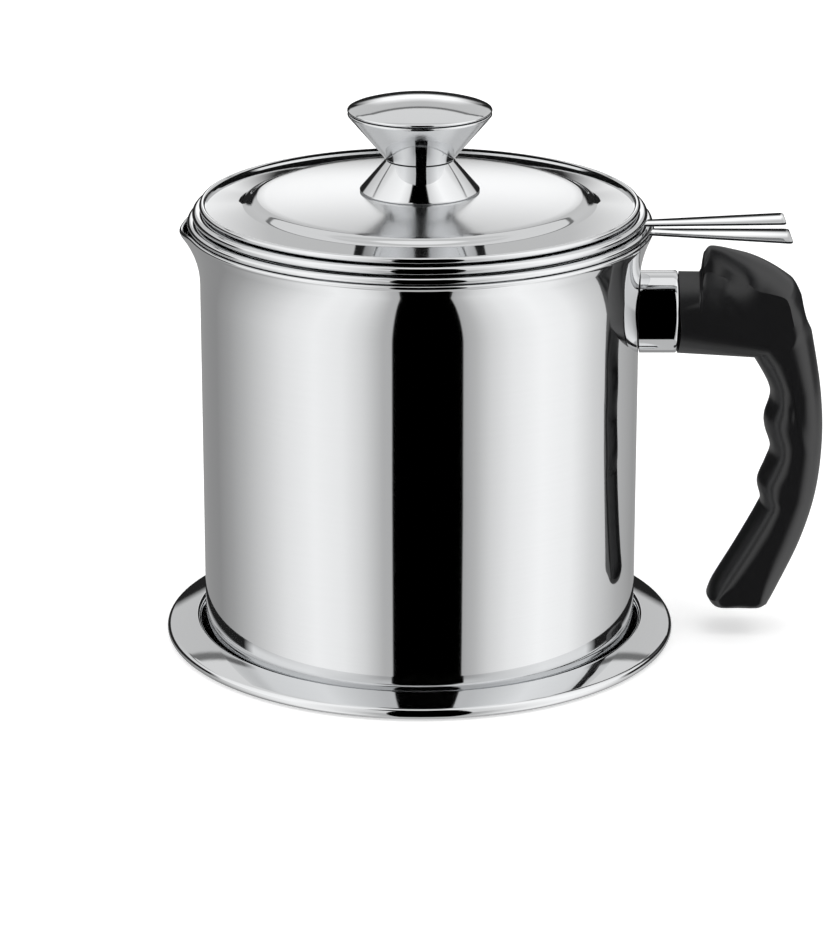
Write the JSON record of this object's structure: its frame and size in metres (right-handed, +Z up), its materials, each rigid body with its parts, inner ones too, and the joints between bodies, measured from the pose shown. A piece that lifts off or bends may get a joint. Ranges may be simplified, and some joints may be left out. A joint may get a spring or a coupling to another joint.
{
  "type": "bacon grease container",
  "caption": "Flared steel grease pot on a tray, with nested coarse and fine strainers on lifting tabs, a domed lid with a waisted knob and a black side handle.",
  "frame": {"origin": "On the pot's axis, on the underside of the tray, which lies flat on the table.", "axes": "+Z up along the pot's axis, +X towards the side handle, -X towards the pouring spout."},
  "size_m": [0.1801, 0.1398, 0.1505],
  "materials": {
    "polished_steel": "stainless steel sheet, mirror polished",
    "satin_steel": "steel as machined or woven, unpolished",
    "black_phenolic": "black moulded phenolic, satin"
  },
  "bodies": {
    "tray": {"base_tray": "polished_steel"},
    "pot": {"pot_body": "polished_steel", "handle_weld_plate": "satin_steel", "handle_boss": "satin_steel", "handle_ferrule": "polished_steel", "handle_grip": "black_phenolic", "handle_washer": "satin_steel", "handle_screw": "satin_steel"},
    "fine_strainer": {"fine_strainer_cup": "polished_steel", "fine_strainer_mesh": "satin_steel", "fine_strainer_ring": "polished_steel", "fine_strainer_tab": "polished_steel"},
    "coarse_strainer": {"coarse_strainer_cup": "polished_steel", "coarse_strainer_tab": "polished_steel"},
    "lid": {"lid_shell": "polished_steel", "knob_skirt": "polished_steel", "knob_bowl": "polished_steel", "knob_cap": "polished_steel", "knob_nut": "polished_steel", "knob_screw": "polished_steel", "knob_washer": "polished_steel"}
  },
  "joints": [
    {"name": "pot_lift", "type": "slide", "parent": "tray", "child": "pot", "axis": [0, 0, 1], "range_m": [0, 0.05]},
    {"name": "fine_strainer_lift", "type": "slide", "parent": "pot", "child": "fine_strainer", "axis": [0, 0, 1], "range_m": [0, 0.06]},
    {"name": "coarse_strainer_lift", "type": "slide", "parent": "fine_strainer", "child": "coarse_strainer", "axis": [0, 0, 1], "range_m": [0, 0.04]},
    {"name": "lid_lift", "type": "slide", "parent": "coarse_strainer", "child": "lid", "axis": [0, 0, 1], "range_m": [0, 0.05]}
  ]
}
